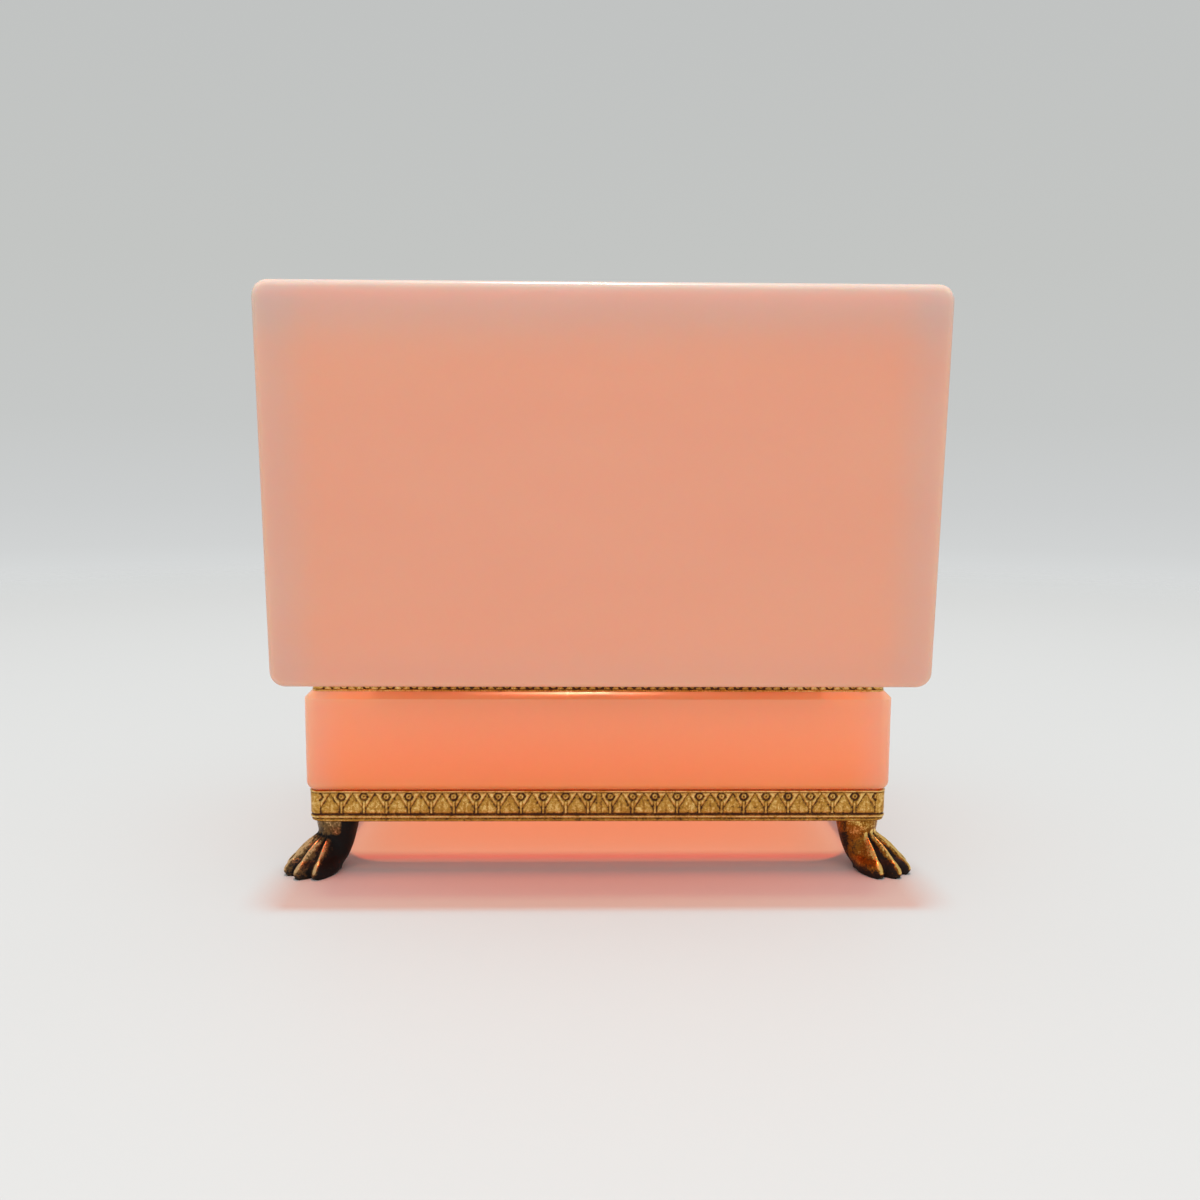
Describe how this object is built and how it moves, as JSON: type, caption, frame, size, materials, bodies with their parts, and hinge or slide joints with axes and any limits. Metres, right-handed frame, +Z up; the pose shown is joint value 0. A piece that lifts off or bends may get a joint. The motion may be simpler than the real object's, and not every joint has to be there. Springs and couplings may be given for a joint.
{
  "type": "glass casket box",
  "caption": "Hinged casket of thick opaline glass in gilt leaf-strip mounts on splayed paw feet, with its lid swung open; for keepsakes or papers.",
  "frame": {"origin": "on the table plane, midway between the four paw feet, under the centre of the base glass", "axes": "+Z up, +X along the casket's width to the right as seen from its front, +Y from the front to the hinge side at the back"},
  "size_m": [0.1616, 0.131, 0.1457],
  "materials": {
    "opaline_glass": "polished, milky salmon pink",
    "gilt_brass": "aged gilding with dark patina in the recesses",
    "dark_bronze": "dark brown patina, rubbed bright on the high points",
    "plaster": "matt, off-white",
    "screw_brass": "plain, dull"
  },
  "bodies": {
    "base": {"base_glass": "opaline_glass", "base_foot_cement": "plaster", "lower_frieze_band": "gilt_brass", "lower_tray_frame": "gilt_brass", "front_left_paw_foot": "dark_bronze", "front_right_paw_foot": "dark_bronze", "back_left_paw_foot": "dark_bronze", "back_right_paw_foot": "dark_bronze", "foot_screws": "screw_brass", "base_rim_cement": "plaster", "base_frieze_band": "gilt_brass", "base_rim_plate": "gilt_brass", "base_inner_lip": "gilt_brass", "hinge_base_leaf": "gilt_brass", "hinge_pin": "screw_brass"},
    "lid": {"lid_glass": "opaline_glass", "lid_rim_cement": "plaster", "lid_frieze_band": "gilt_brass", "lid_rim_plate": "gilt_brass", "lid_inner_lip": "gilt_brass", "thumb_lift": "gilt_brass", "hinge_lid_leaf": "gilt_brass"}
  },
  "joints": [
    {"name": "lid_hinge", "type": "hinge", "parent": "base", "child": "lid", "pos_m": [0, 0.0461, 0.05456], "axis": [1, 0, 0], "range_deg": [0, 94]}
  ]
}
